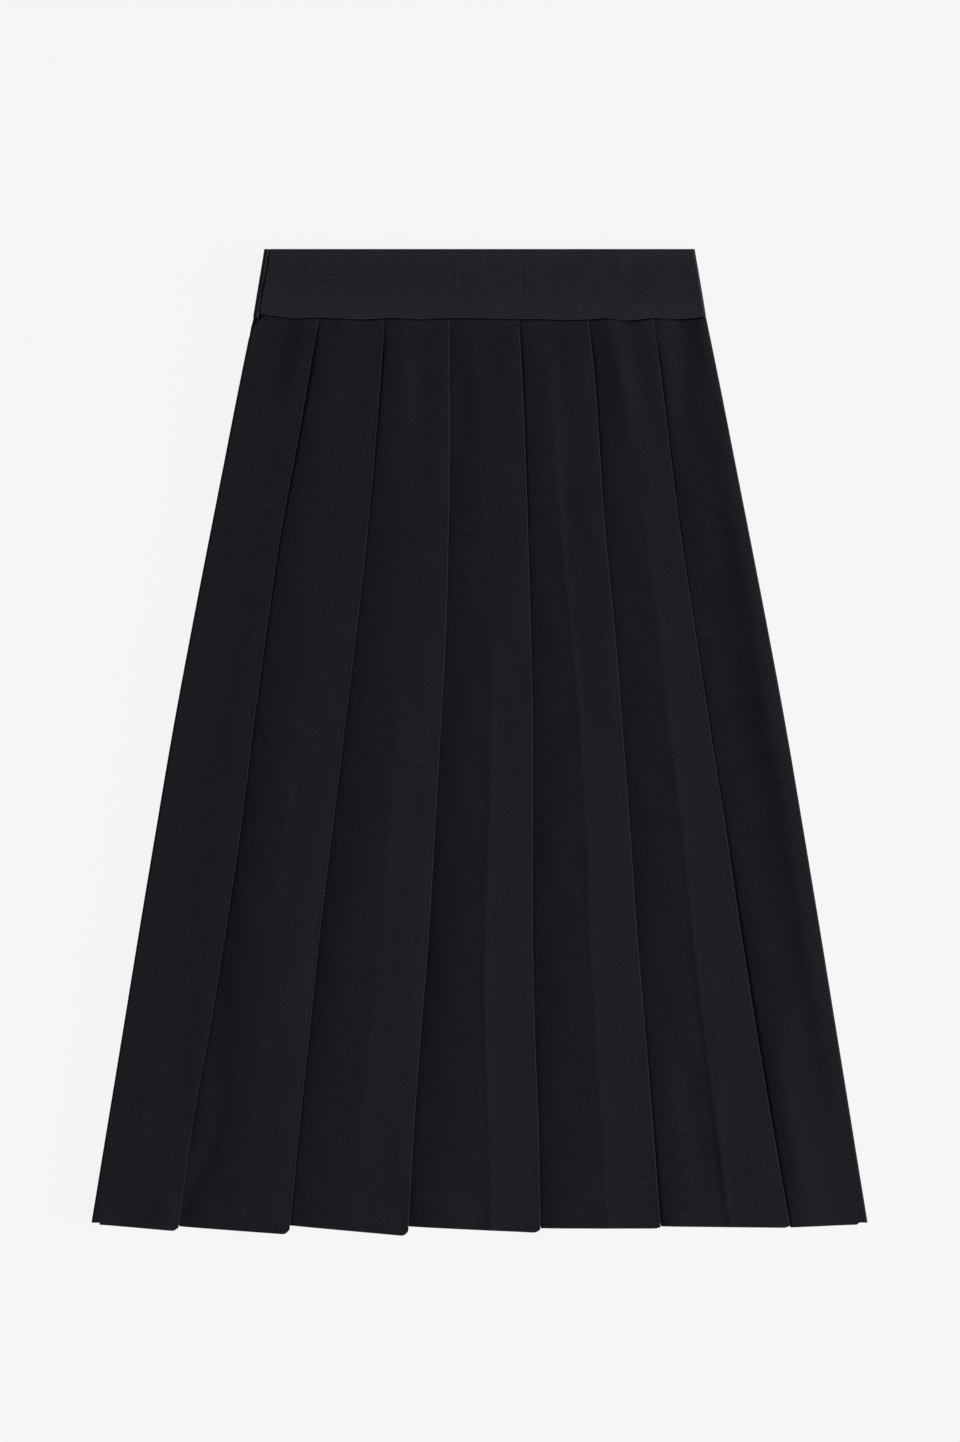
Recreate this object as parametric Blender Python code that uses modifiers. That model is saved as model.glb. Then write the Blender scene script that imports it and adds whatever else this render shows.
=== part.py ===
"""Pleated midi skirt, laid flat with its front up.

+X is across the skirt, +Y is towards the waist and +Z is up, with the origin under the middle of the
outline. A "drop" is a distance down from the waist's edge. Every piece is a wall of cloth, lofted
through sections that run across the skirt, with one section for each row of drops. A section is a
line of points at the middle of the cloth, and each point has its place across, its drop and its height.
The panels' sections follow the cloth round its pleats, over, back under and out again.
"""

import bpy
import numpy as np

MM = 0.001

# Outline, in metres.
LENGTH = 808.0 * MM
BAND_DEPTH = 57.0 * MM
WAIST_HALF_WIDTH = 175.7 * MM
STATIONS = np.array([57.0, 240.0, 430.0, 620.0, 801.0]) * MM
HALF_WIDTHS = np.array([185.4, 222.0, 257.1, 288.6, 318.3]) * MM

# Cloth: its thickness, the waistband's thickness, how far apart layers lie, and the gap between pieces.
CLOTH = 1.0 * MM
BAND_CLOTH = 1.4 * MM
PITCH = 1.4 * MM
GAP = 0.3 * MM

# Knife pleats of a panel, from its left to its right as seen from outside, in millimetres.
# fold: how far right of the middle the pleat's outer fold lies at each of STATIONS.
# hem_from, hem_to: drop of the hem where the face starts at its left, and at its own fold.
# curl: how much higher the hem is on the round of the fold.
PLEATS = [
    {"fold": (-130.9, -163.2, -189.1, -216.7, -247.1), "hem_from": 799.0, "hem_to": 804.6, "curl": 4.0},
    {"fold": (-77.3, -92.1, -114.9, -136.4, -154.0), "hem_from": 800.7, "hem_to": 807.2, "curl": 5.0},
    {"fold": (-24.3, -24.9, -33.5, -45.7, -57.3), "hem_from": 799.9, "hem_to": 808.6, "curl": 5.0},
    {"fold": (32.1, 40.5, 43.8, 45.2, 50.7), "hem_from": 800.7, "hem_to": 805.8, "curl": 3.5},
    {"fold": (89.5, 104.6, 120.1, 133.9, 149.3), "hem_from": 802.2, "hem_to": 802.2, "curl": 1.5},
    {"fold": (142.0, 166.2, 194.5, 223.6, 254.3), "hem_from": 800.6, "hem_to": 801.6, "curl": 1.8},
]
LAST_HEM = {"hem_from": 801.5, "hem_to": 798.0}
PLEAT_DEPTHS = np.array([34.0, 34.5, 35.5, 40.0, 45.0]) * MM
EDGE_HEM = 797.4 * MM
BACK_HEM = 798.6 * MM
HIDDEN_HEM_RISE = 4.0 * MM
CURL_REACH = 6.0 * MM

# Levels of the middle of the cloth.
BACK_LEVEL = CLOTH / 2
FRONT_LEVEL = BACK_LEVEL + 2 * PITCH + CLOTH + GAP
MOUTH_OPENING = 2.2 * MM

# How the cloth runs from level to level.
RIDGE_HEIGHT = 1.3 * MM
RIDGE_STARTS, RIDGE_FULL = 60.0 * MM, 260.0 * MM
RISE_STEPS = (0.1, 0.38, 0.66, 0.87)
RIDGE_STEPS = {0.16: 0.85, 0.5: 0.35}
CURL_STEPS = (1.0, 0.35)
DESCENT = 11.0 * MM
DESCENT_STEPS = (0.2, 0.55, 1.0)
LIFT_ENDS = 95.0 * MM
CLIMB_STARTS, CLIMB_ENDS = 3.0 * MM, 46.0 * MM
COVER_REACH, COVER_BLEND = 11.0 * MM, 7.0 * MM

# Side edges: the cloth rolls round them, and front and back meet at the side seam half way up. At the
# left the back of the waistband wraps on to the top, and its seam lies there.
PANEL_ROLL = 1.6 * MM
BAND_ROLL = 2.6 * MM
ROLL_POINTS = 9
SEAM_FLAT = 0.4 * MM
EDGE_REACH = 6.5 * MM
TUCK = BAND_CLOTH + 0.5 * MM
TUCK_ENDS = 68.0 * MM
WRAP = 3.7 * MM

# Rows of drops. The panels start inside the waistband.
PANEL_ROWS = np.array([48.0, 57.0, 68.0, 95.0, 170.0, 300.0, 430.0, 560.0, 690.0, 801.0]) * MM
BAND_ROWS = np.array([0.0, 12.0, 30.0, 46.0, 52.0, 57.0]) * MM
FRONT_BAND_POINTS = 44
BACK_BAND_POINTS = 6
BAND_SAG = 0.6 * MM
BAND_CORNER = {-1: 5.0 * MM, 1: 1.6 * MM}
BAND_CORNER_REACH = 10.0 * MM
GRID_STEP = 1.0 * MM

FRONT, BACK = 1, -1
CLOTH_COLOUR = (0.0100, 0.0095, 0.0130, 1.0)
BAND_COLOUR = (0.0150, 0.0140, 0.0185, 1.0)


def step(value, start, end):
    """0 up to start, 1 from end on, and a smooth climb between them."""
    t = np.clip((value - start) / (end - start), 0.0, 1.0)
    return t * t * (3 - 2 * t)


def at_drop(values, drop):
    """A cubic curve through values given at STATIONS, which runs on straight beyond them."""
    slopes = np.gradient(values, STATIONS)
    inside = np.clip(drop, STATIONS[0], STATIONS[-1])
    i = np.clip(np.searchsorted(STATIONS, inside) - 1, 0, len(STATIONS) - 2)
    span = STATIONS[i + 1] - STATIONS[i]
    t = (inside - STATIONS[i]) / span
    curve = (
        values[i] * (1 + 2 * t) * (1 - t) ** 2
        + values[i + 1] * t * t * (3 - 2 * t)
        + slopes[i] * span * t * (1 - t) ** 2
        - slopes[i + 1] * span * t * t * (1 - t)
    )
    return curve + (drop - inside) * np.where(drop < STATIONS[0], slopes[0], slopes[-1])


def half_width(drop):
    """From the middle to the outline: straight beside the waistband, then through HALF_WIDTHS."""
    slope = (HALF_WIDTHS[0] - WAIST_HALF_WIDTH) / BAND_DEPTH
    return np.where(drop < BAND_DEPTH, WAIST_HALF_WIDTH + slope * drop, at_drop(HALF_WIDTHS, drop))


def row_drop(share, hem):
    """The drop of a point in a row, at its share of the way from the panel's top to its own hem."""
    return PANEL_ROWS[0] + share * (hem - PANEL_ROWS[0])


def turn(x, z, radius, start, end, points=5):
    """Points round part of a circle about x and z, from one angle in degrees to another."""
    angles = np.radians(np.linspace(start, end, points))
    return x + radius * np.cos(angles), z + radius * np.sin(angles)


def joined(*stretches):
    """One section from stretches, each of places across, hems or drops, and heights."""
    columns = [np.broadcast_arrays(*[np.atleast_1d(value) for value in stretch]) for stretch in stretches]
    return np.concatenate([np.column_stack(column) for column in columns])


def side_roll(side, edge, near, far, roll, wrap=0.0):
    """The cloth's way round a side edge, from EDGE_REACH in from it at height near, round a quarter
    circle towards height far, and on to the side seam. The seam is half way up, or wrap in from the
    edge on the far side, or on the near side where wrap is negative. Returns places across and
    heights, and the last is at the seam."""
    height = abs(far - near)
    radius = min(roll, height / 2 - SEAM_FLAT)
    out, up = turn(edge - radius, radius, radius, -90, 0, 7)
    x = np.concatenate([[edge - EDGE_REACH], out, out[::-1], [edge - EDGE_REACH]])
    z = np.concatenate([[0.0], up, height - up[::-1], [height]])
    run = np.concatenate([[0.0], np.cumsum(np.hypot(np.diff(x), np.diff(z)))])
    past_middle = np.sign(wrap) * (height / 2 + abs(wrap) + (np.pi / 2 - 2) * radius)
    end = run[-1] / 2 + past_middle - GAP / 2
    at = np.append(np.linspace(0.0, end - SEAM_FLAT / 2, ROLL_POINTS - 1), end)
    return side * np.interp(at, run, x), near + np.sign(far - near) * np.interp(at, run, z)


def panel_roll(side, share, face, base):
    """A panel's way round a side edge, outwards from the panel."""
    drop = row_drop(share, EDGE_HEM)
    tuck = TUCK * (1 - step(drop, BAND_DEPTH, TUCK_ENDS))
    edge = half_width(drop) - tuck - CLOTH / 2
    near, far = (FRONT_LEVEL, BACK_LEVEL) if face == FRONT else (BACK_LEVEL, FRONT_LEVEL)
    x, z = side_roll(side, edge, near + base, far + base, PANEL_ROLL)
    return x, np.full(len(x), EDGE_HEM), z


def hem_along(x, start, fold, pleat, face):
    """Drop of the hem at places along a face: even at the back, and straight from hem_from to hem_to
    at the front, where it curls up towards the fold."""
    if face == BACK:
        return np.full(len(x), BACK_HEM)
    along = np.clip((x - start) / (fold - start), 0.0, 1.0)
    curl = pleat.get("curl", 0.0) * np.clip((x - fold) / CURL_REACH + 1, 0.0, 1.0) ** 2
    return (pleat["hem_from"] + (pleat["hem_to"] - pleat["hem_from"]) * along - curl) * MM


def face_line(start, inner, ridge, face):
    """A face from where it comes out at start to the next pleat's inner fold. At the front it rises
    slowly, then faster, to a ridge on top of the pleat. At the back it comes down to the surface."""
    if face == FRONT:
        t = np.array(RISE_STEPS + (1.0,))
        return start + t * (inner - start), PITCH * (t + step(t, 0.5, 1.0)) + ridge * step(t, 0.6, 1.0)
    t = np.array(DESCENT_STEPS)
    return start + t * DESCENT, 2 * PITCH * (1 - step(t, 0.0, 1.0))


def pleat_line(inner, fold, ridge, face):
    """A pleat from its ridge over to its outer fold, back under to its inner fold, and out again."""
    radius = PITCH / 2
    top, under = (2 * PITCH, -1) if face == FRONT else (0.0, 1)
    ridge_x = inner + np.array([*RIDGE_STEPS]) * (fold - inner)
    ridge_z = top + ridge * np.array([*RIDGE_STEPS.values()])
    curl_x = fold - np.array(CURL_STEPS) * CURL_REACH
    outer_x, outer_z = turn(fold - radius, top + under * radius, radius, -under * 90, under * 90)
    inner_x, inner_z = turn(inner + radius, top + under * 3 * radius, radius, -under * 90, -under * 270)
    x = np.concatenate([ridge_x, curl_x, outer_x, inner_x, [fold - radius]])
    z = np.concatenate([ridge_z, np.full(len(curl_x), top), outer_z, inner_z, [top + under * 2 * PITCH]])
    hidden = np.arange(len(x)) >= len(x) - len(inner_x) - 1
    return x, z, hidden


def panel_section(share, face):
    """One row of a panel, in the order of its cloth from its own left to its own right."""
    drop = row_drop(share, PANEL_ROWS[-1])
    base = (BAND_CLOTH + GAP) * (1 - step(drop, BAND_DEPTH, LIFT_ENDS))
    level = base + (FRONT_LEVEL if face == FRONT else BACK_LEVEL)
    ridge = RIDGE_HEIGHT * step(drop, RIDGE_STARTS, RIDGE_FULL) if face == FRONT else 0.0

    x, hem, z = panel_roll(-face, share, face, base)
    stretches = [(face * x[::-1], hem, z[::-1])]
    start = face * x[0]
    for index, pleat in enumerate(PLEATS):
        fold_drop = row_drop(share, pleat["hem_to"] * MM)
        fold = at_drop(np.array(pleat["fold"]) * MM, fold_drop)
        inner = fold - at_drop(PLEAT_DEPTHS, fold_drop)
        if index or face == FRONT:
            x, z = face_line(start, inner, ridge, face)
            stretches.append((x, hem_along(x, start, fold, pleat, face), level + z))
        x, z, hidden = pleat_line(inner, fold, ridge, face)
        hem = hem_along(x, start, fold, pleat, face)
        hem[hidden] -= HIDDEN_HEM_RISE
        stretches.append((x, hem, level + z))
        start = fold
    x, hem, z = panel_roll(face, share, face, base)
    x = face * x
    face_x = start + np.array(DESCENT_STEPS) * DESCENT
    face_z = 0.0 if face == FRONT else 2 * PITCH * (1 - step(np.array(DESCENT_STEPS), 0.0, 1.0))
    stretches.append((face_x, hem_along(face_x, start, x[0], LAST_HEM, face), level + face_z))
    stretches.append((x, hem, z))
    section = joined(*stretches)
    section[:, 0] *= face
    section[:, 1] = row_drop(share, section[:, 1])
    return section


def panel_sections(face):
    """Every row of a panel, from inside the waistband to the hem."""
    shares = (PANEL_ROWS - PANEL_ROWS[0]) / (PANEL_ROWS[-1] - PANEL_ROWS[0])
    return np.array([panel_section(share, face) for share in shares])


def cover_heights(sections):
    """How high the waistband has to lie over the front panel's top rows: the highest cloth within
    COVER_REACH of each place, averaged over COVER_BLEND. Returns places across and heights."""
    limit = HALF_WIDTHS[0]
    across = np.arange(-limit, limit + GRID_STEP, GRID_STEP)
    highest = np.zeros(len(across))
    blend = np.linspace(0.0, 1.0, 60)[:, None]
    for row in sections:
        x = row[:-1, 0] + blend * np.diff(row[:, 0])
        z = row[:-1, 2] + blend * np.diff(row[:, 2])
        cells = np.rint((x + limit) / GRID_STEP).astype(int)
        np.maximum.at(highest, cells, z)
    for combine, reach in ((np.max, COVER_REACH), (np.mean, COVER_BLEND)):
        cells = round(reach / GRID_STEP)
        windows = np.lib.stride_tricks.sliding_window_view(np.pad(highest, cells, mode="edge"), 2 * cells + 1)
        highest = combine(windows, axis=1)
    return across, highest + CLOTH / 2 + GAP + BAND_CLOTH / 2


def band_edge_drop(x, drop, face):
    """The drop of a waistband row. The front's lower edge sags a little between the pleats' folds and
    curves up at both ends."""
    if face == BACK:
        return np.full(len(x), drop)
    folds = np.array([pleat["fold"][0] for pleat in PLEATS]) * MM
    marks = np.concatenate([[-HALF_WIDTHS[0]], folds, [HALF_WIDTHS[0]]])
    phase = np.interp(x, marks, np.arange(len(marks)))
    sag = BAND_SAG * (np.sin(np.pi * phase) ** 2 - 0.5)
    ends = np.where(x < 0, BAND_CORNER[-1], BAND_CORNER[1])
    corner = ends * np.clip(1 - (HALF_WIDTHS[0] - np.abs(x)) / BAND_CORNER_REACH, 0.0, 1.0) ** 2
    return drop + (sag - corner) * step(drop, CLIMB_ENDS, BAND_DEPTH)


def band_section(drop, face, cover):
    """One row of the waistband's front or back, from left to right."""
    low = BAND_CLOTH / 2
    mouth = low + BAND_CLOTH + MOUTH_OPENING
    climb = step(drop, CLIMB_STARTS, CLIMB_ENDS)
    edge = half_width(drop) - BAND_CLOTH / 2
    stretches = {}
    for side in (-1, 1):
        high = mouth + (np.interp(side * (edge - EDGE_REACH), *cover) - mouth) * climb
        near, far = (high, low) if face == FRONT else (low, high)
        wrap = -face * WRAP if side < 0 else 0.0
        stretches[side] = side_roll(side, edge, near, far, BAND_ROLL, wrap)
    points = FRONT_BAND_POINTS if face == FRONT else BACK_BAND_POINTS
    inside = edge - EDGE_REACH
    x = np.linspace(-inside, inside, points + 2)[1:-1]
    z = mouth + (np.interp(x, *cover) - mouth) * climb if face == FRONT else low
    left_x, left_z = stretches[-1]
    right_x, right_z = stretches[1]
    section = joined((left_x[::-1], 0.0, left_z[::-1]), (x, 0.0, z), (right_x, 0.0, right_z))
    section[:, 1] = band_edge_drop(section[:, 0], drop, face)
    section[:, 0] *= half_width(section[:, 1]) / half_width(drop)
    return section


def material(name, colour, roughness):
    """A matt cloth material."""
    made = bpy.data.materials.new(name)
    made.use_nodes = True
    shader = made.node_tree.nodes["Principled BSDF"]
    shader.inputs["Base Color"].default_value = colour
    shader.inputs["Roughness"].default_value = roughness
    shader.inputs["Metallic"].default_value = 0.0
    made.diffuse_color = colour
    return made


def loft(name, sections, wall, finish, collection):
    """A cloth wall through sections, which are rows of places across, drops and heights."""
    rows, columns, _ = sections.shape
    points = sections.reshape(-1, 3) * (1.0, -1.0, 1.0) + (0.0, LENGTH / 2, 0.0)
    corner = np.arange((rows - 1) * columns).reshape(rows - 1, columns)[:, :-1].ravel()
    faces = np.column_stack([corner, corner + columns, corner + columns + 1, corner + 1])
    mesh = bpy.data.meshes.new(name)
    mesh.from_pydata(points.tolist(), [], faces.tolist())
    mesh.materials.append(finish)
    mesh.shade_smooth()
    made = bpy.data.objects.new(name, mesh)
    collection.objects.link(made)
    thick = made.modifiers.new("Cloth thickness", "SOLIDIFY")
    thick.thickness = wall
    thick.offset = 0.0
    thick.use_even_offset = True
    return made


def clear_scene():
    """Remove the objects that the scene starts with."""
    for thing in list(bpy.data.objects):
        bpy.data.objects.remove(thing, do_unlink=True)


def main():
    clear_scene()
    collection = bpy.data.collections.new("pleated_midi_skirt")
    bpy.context.scene.collection.children.link(collection)
    cloth = material("skirt_cloth", CLOTH_COLOUR, 0.9)
    band_cloth = material("waistband_cloth", BAND_COLOUR, 0.85)

    front = panel_sections(FRONT)
    loft("front_panel", front, CLOTH, cloth, collection)
    loft("back_panel", panel_sections(BACK), CLOTH, cloth, collection)
    cover = cover_heights(front[PANEL_ROWS <= BAND_DEPTH])
    for name, face in (("waistband_front", FRONT), ("waistband_back", BACK)):
        rows = np.array([band_section(drop, face, cover) for drop in BAND_ROWS])
        loft(name, rows, BAND_CLOTH, band_cloth, collection)


main()
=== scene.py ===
"""Pleated midi skirt laid flat with its front up: near-black worsted in one-way knife pleats, a deep
topstitched waistband, a turned and blind-stitched hem, and a plain pale studio stage.

Places are in metres in the skirt's frame: +X across it, +Y towards the waist, +Z up. A "drop" is a
distance down from the waist's edge. Every cloth piece is a surface on a grid of rows and columns: a
row is one drop, and the columns follow the cloth across the skirt and round each pleat.
"""

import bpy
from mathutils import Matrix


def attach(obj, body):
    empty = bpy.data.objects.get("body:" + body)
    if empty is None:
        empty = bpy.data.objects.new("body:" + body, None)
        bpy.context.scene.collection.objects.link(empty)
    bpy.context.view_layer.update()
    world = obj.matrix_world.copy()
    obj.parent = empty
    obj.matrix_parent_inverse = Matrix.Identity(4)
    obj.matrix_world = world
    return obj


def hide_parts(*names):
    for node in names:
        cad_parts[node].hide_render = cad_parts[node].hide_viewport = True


bl_info = {
    "name": "Pleated Midi Skirt",
    "version": (1, 0, 0),
    "blender": (4, 5, 0),
    "location": "3D View > Sidebar > Skirt",
    "description": "Builds a flat-laid midi skirt with knife pleats, its waistband, stitching and stage",
    "category": "Add Mesh",
}

import bpy
import numpy as np
from bpy.props import FloatProperty, FloatVectorProperty, PointerProperty, StringProperty
from bpy.types import Operator, Panel, PropertyGroup

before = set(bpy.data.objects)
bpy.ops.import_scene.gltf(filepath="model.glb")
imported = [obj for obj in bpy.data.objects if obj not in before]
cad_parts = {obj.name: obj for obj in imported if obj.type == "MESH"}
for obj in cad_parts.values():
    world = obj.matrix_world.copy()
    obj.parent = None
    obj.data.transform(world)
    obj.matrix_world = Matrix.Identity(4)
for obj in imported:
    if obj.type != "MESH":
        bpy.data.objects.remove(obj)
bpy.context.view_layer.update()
MM = 0.001
FRONT, BACK = 1, -1
LEFT, RIGHT = -1, 1

# ---- the cut, as tables of real sizes

# Drops at which the pleats' folds and the outline's half widths are given, and those half widths.
FOLD_DROPS = np.array([57, 100, 160, 230, 310, 390, 480, 560, 640, 720, 800]) * MM
HALF_WIDTHS = np.array(
    [185.4, 194.2, 206.1, 219.9, 235.4, 250.3, 265.6, 278.9, 291.9, 305.0, 318.1]) * MM

# Drops at which each pleat's own shape is given.
SHAPE_DROPS = np.array([75, 240, 430, 620, 790]) * MM

# Knife pleats from left to right as seen from outside, in millimetres.
# fold: how far right of the middle the outer fold lies at each of FOLD_DROPS.
# At each of SHAPE_DROPS:
# depth: how far its inner fold lies from its outer fold.
# ridge: how much higher the face lies over its inner fold than on the rest of its plateau.
# crest: height of the narrow line that the inner fold presses into the face over it.
# fall: how far the face falls from its plateau to its outer fold, or stands up to it below nought.
# groove, near: how far the next face comes up steeply and less steeply beside the outer fold.
# One value each:
# lip: how far the pressed edge of the fold lifts.
# bevel: width of the slant between the face's curve and the round of the fold.
# hem_from, hem_to: drop of the hem where the face comes out at its left, and at its own fold.
# curl: how much higher than that the hem is at the fold.
PLEATS = [
    {"fold": (-131.2, -138.4, -148.8, -161.8, -173.5, -184.3, -195.5, -207.4, -220.3, -234.8, -245.4),
     "depth": (12, 14, 17, 20, 22), "ridge": (0, 0, 0, 0, 0),
     "crest": (0, 0, 0, 0, 0), "fall": (0, 0.05, 0.05, 0.05, 0),
     "groove": (0.7, 0.3, 0.15, 0.1, 0), "near": (0.6, 0.4, 1.0, 1.4, 0.6),
     "lip": 0.1, "bevel": 0.15, "hem_from": 799.0, "hem_to": 804.6, "curl": 4.0},
    {"fold": (-77.5, -80.2, -84.9, -91.1, -99.8, -109.6, -120.3, -130.1, -138.3, -146.7, -154.4),
     "depth": (40, 41, 39.5, 41, 42), "ridge": (-0.6, -0.2, -0.1, -0.1, -0.2),
     "crest": (0, 0, 0.05, 0.05, 0.05), "fall": (0, 0, 0.4, 0.8, 0.1),
     "groove": (0.5, 0.15, 0.05, 0.05, 0.2), "near": (0.8, 0.3, 0.8, 1.5, 1.6),
     "lip": 0.1, "bevel": 0.3, "hem_from": 800.7, "hem_to": 807.2, "curl": 5.0},
    {"fold": (-24.5, -24.2, -24.1, -25.0, -27.1, -31.3, -36.4, -41.0, -47.2, -53.1, -57.5),
     "depth": (35, 34.5, 36.5, 41, 45), "ridge": (-0.6, -0.4, 0.35, 0.3, 0),
     "crest": (0, 0, 0.05, 0.05, 0.05), "fall": (0.05, 0.15, 0.35, 0.6, -0.3),
     "groove": (0.05, 0.05, 0, 0, 0.1), "near": (0.5, 0.2, 0.4, 2.0, 2.7),
     "lip": 0.03, "bevel": 0.6, "hem_from": 799.9, "hem_to": 808.6, "curl": 5.0},
    {"fold": (32.1, 34.8, 37.5, 39.8, 42.0, 43.8, 43.8, 43.8, 45.4, 48.5, 50.0),
     "depth": (33, 33, 35, 40.5, 41), "ridge": (-0.6, -0.3, 0.3, 0.9, 0.5),
     "crest": (0, 0, 0.15, 0.2, 0.2), "fall": (0.05, 0.15, 0.2, 0.4, -0.3),
     "groove": (0.45, 0.15, 0.05, 0.05, 0.15), "near": (0.9, 0.4, 0.5, 1.3, 2.0),
     "lip": 0.03, "bevel": 0.6, "hem_from": 800.7, "hem_to": 805.8, "curl": 3.5},
    {"fold": (89.0, 93.9, 98.2, 102.9, 110.6, 117.0, 123.7, 129.0, 135.8, 142.2, 148.4),
     "depth": (37, 36.5, 35.5, 40.5, 43.5), "ridge": (-0.6, -0.5, 0.2, 0.6, 0.5),
     "crest": (0, 0.2, 0.2, 0.15, 0.1), "fall": (0.1, 0.2, 0.4, 0.4, -0.1),
     "groove": (0.35, 0.1, 0.05, 0.1, 0.4), "near": (1.0, 0, 0.4, 1.2, 2.6),
     "lip": 0.03, "bevel": 0.8, "hem_from": 802.2, "hem_to": 802.2, "curl": 1.5},
    {"fold": (141.8, 148.2, 155.4, 164.4, 176.3, 188.3, 202.4, 214.1, 226.7, 240.0, 254.0),
     "depth": (35, 29, 34.5, 42, 49), "ridge": (-0.6, 0.2, 0.6, 0, -0.5),
     "crest": (0.05, 0.05, 0.15, 0.3, 0.35), "fall": (0, 0.1, 0.1, 0.2, 0.1),
     "groove": (0.3, 0.15, 0.2, 0.6, 0.45), "near": (0.9, 0.6, 0.95, 2.1, 1.5),
     "lip": 0.03, "bevel": 0.8, "hem_from": 800.6, "hem_to": 801.6, "curl": 1.8},
]

# The last face, which ends at the side edge, has a hem only.
LAST_HEM = {"hem_from": 801.5, "hem_to": 799.0, "curl": 0.0}

# Drops of the hem: the one that a grid's rows are spaced for, at the side edges and at the back.
HEM_DROP, EDGE_HEM, BACK_HEM = 801.0 * MM, 797.4 * MM, 798.6 * MM

# Soft creases of the front, in millimetres: the ends of each one's line as (across, drop), how wide it
# is, and how high, with a trough below nought.
CREASES = [
    ((-262, 640), (-284, 790), 7, 0.25),
    ((-236, 590), (-252, 790), 8, -0.2),
    ((-203, 540), (-221, 770), 9, -0.4),
    ((-204, 698), (-262, 834), 7, -0.5),
    ((-36, 620), (-42, 780), 12, -0.35),
    ((-47, 60), (-50, 210), 8, -0.25),
    ((-16, 56), (-14, 200), 8, -0.25),
    ((64, 60), (76, 260), 8, -0.3),
    ((-120, 54), (-106, 72), 3, 0.3),
    ((-71, 54), (-59, 70), 2.5, 0.3),
    ((95, 10), (128, 160), 9, 0.6),
    ((122, 50), (138, 150), 8, -0.3),
    ((163, 52), (165, 68), 2.5, -0.12),
    ((170, 52), (171.5, 68), 2.5, 0.12),
    ((178, 30), (190, 120), 7, 0.5),
    ((97, 140), (117, 460), 16, 0.5),
    ((184, 560), (206, 815), 4.5, 0.3),
    ((237, 620), (266, 790), 8, 0.3),
    ((168, 640), (184, 800), 10, -0.5),
    ((158, 20), (172, 170), 10, -0.9),
    ((183, 190), (246, 620), 18, -0.7),
    ((173, 0), (300, 768), 9, 0.4),
]

# Marks pressed into the waistband's front from inside it, in the same way.
BAND_MARKS = [
    ((-19.5, 6), (-19, 49), 1.3, 0.11),
    ((35.5, 6), (35, 49), 1.3, -0.11),
    ((-139.5, 8), (-139, 20), 4, 0.16),
    ((115, 7), (116, 21), 6, 0.3),
]

# The waistband's lower edge in millimetres: places across, and how far it hangs below its mean there.
BAND_EDGE = np.array([
    (-185, 0.5), (-165, 0.0), (-150, 0.5), (-134, 0.0), (-118, 0.4), (-98, 1.4), (-68, 0.3),
    (-47, 1.4), (-27, 0.4), (0, 0.4), (23, 1.2), (45, 1.3), (63, 1.7), (92, 1.3),
    (102, 0.5), (120, 2.5), (133, 1.3), (145, 0.2), (157, 1.3), (172, 0.7), (185, 0.3),
]) * MM

# Its corners: how far each is lifted, how far in that reaches, and the power of its curve.
BAND_CORNERS = {LEFT: (4.9 * MM, 28.0 * MM, 1.25), RIGHT: (2.0 * MM, 10.0 * MM, 2.0)}

# ---- how the cloth is laid

# The panels' cloth starts inside the waistband.
PANEL_TOP = 48.0 * MM
PANEL_LENGTH = HEM_DROP - PANEL_TOP

# Height of the front's lowest layer. Each panel is lifted at the waistband, down to a drop.
FRONT_LEVEL = 4.5 * MM
LIFTS = {FRONT: (2.7 * MM, 220.0 * MM), BACK: (1.7 * MM, 95.0 * MM)}

# The front dips under the waistband, and comes up between these distances below its edge.
DITCH, DITCH_RISES = 2.0 * MM, (0.3 * MM, 1.5 * MM)

# The front's pleats are squeezed to a share of their height at the waistband.
SQUEEZE, SQUEEZE_ENDS = 0.37, 92.0 * MM

# Beside a fold the next face comes up gently, over a reach that grows between two drops, and in its
# groove steeply, up to a place that lies further out the deeper the groove is.
NEAR_REACH, NEAR_GROWTH, NEAR_GROWS = 11.0 * MM, 0.35, (430.0 * MM, 700.0 * MM)
GROOVE_STARTS, GROOVE_ENDS, GROOVE_SLOPE = -0.4 * MM, 1.2 * MM, 2.5

# A face bows up as it climbs to its inner fold, and less so between two drops.
BOW, BOW_LOSS, BOW_FADES = 0.6, 0.4, (560.0 * MM, 760.0 * MM)

# Half the passage from the climb to the plateau: this, or a share of the climb where that is less.
PASSAGE, PASSAGE_SHARE = 9.0 * MM, 0.4

# The first face starts to climb at this share of its width.
FIRST_CLIMB = 0.4

# A ridge fades by a square at the waistband, and by this power below the second drop.
RIDGE_POWER, RIDGE_CHANGES = 1.6, (100.0 * MM, 250.0 * MM)

# Reach of a face's fall to its fold, and half width of a crest.
FALL_REACH, CREST_WIDTH = 9.0 * MM, 3.0 * MM

# The face curls to its fold over this width, and the fold's round is this flat.
CURL_REACH, FOLD_FLATNESS = 6.0 * MM, 0.1

# The back's faces climb beside a fold over this width.
DESCENT = 11.0 * MM

# Columns of the front are close together within this distance of a fold.
FINE_REACH = 20.0 * MM

# The front stands up along its side edges, from far inside their turn to just past its start. At the
# right it has only a share of that at first, and loses a share again near the hem.
SHOULDER_REACH, SHOULDER_PAST, SHOULDERS_GROW = 60.0 * MM, 3.0 * MM, (58.0 * MM, 150.0 * MM)
LEFT_SHOULDER, RIGHT_SHOULDER = 1.7 * MM, 4.2 * MM
RIGHT_AT_FIRST, RIGHT_GROWS = 0.65, (150.0 * MM, 320.0 * MM)
RIGHT_LOSS, RIGHT_SINKS = 0.75, (600.0 * MM, 790.0 * MM)

# The last face's rise beside its fold fades between these shares of its width.
LAST_FADES = (0.05, 0.8)

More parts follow.
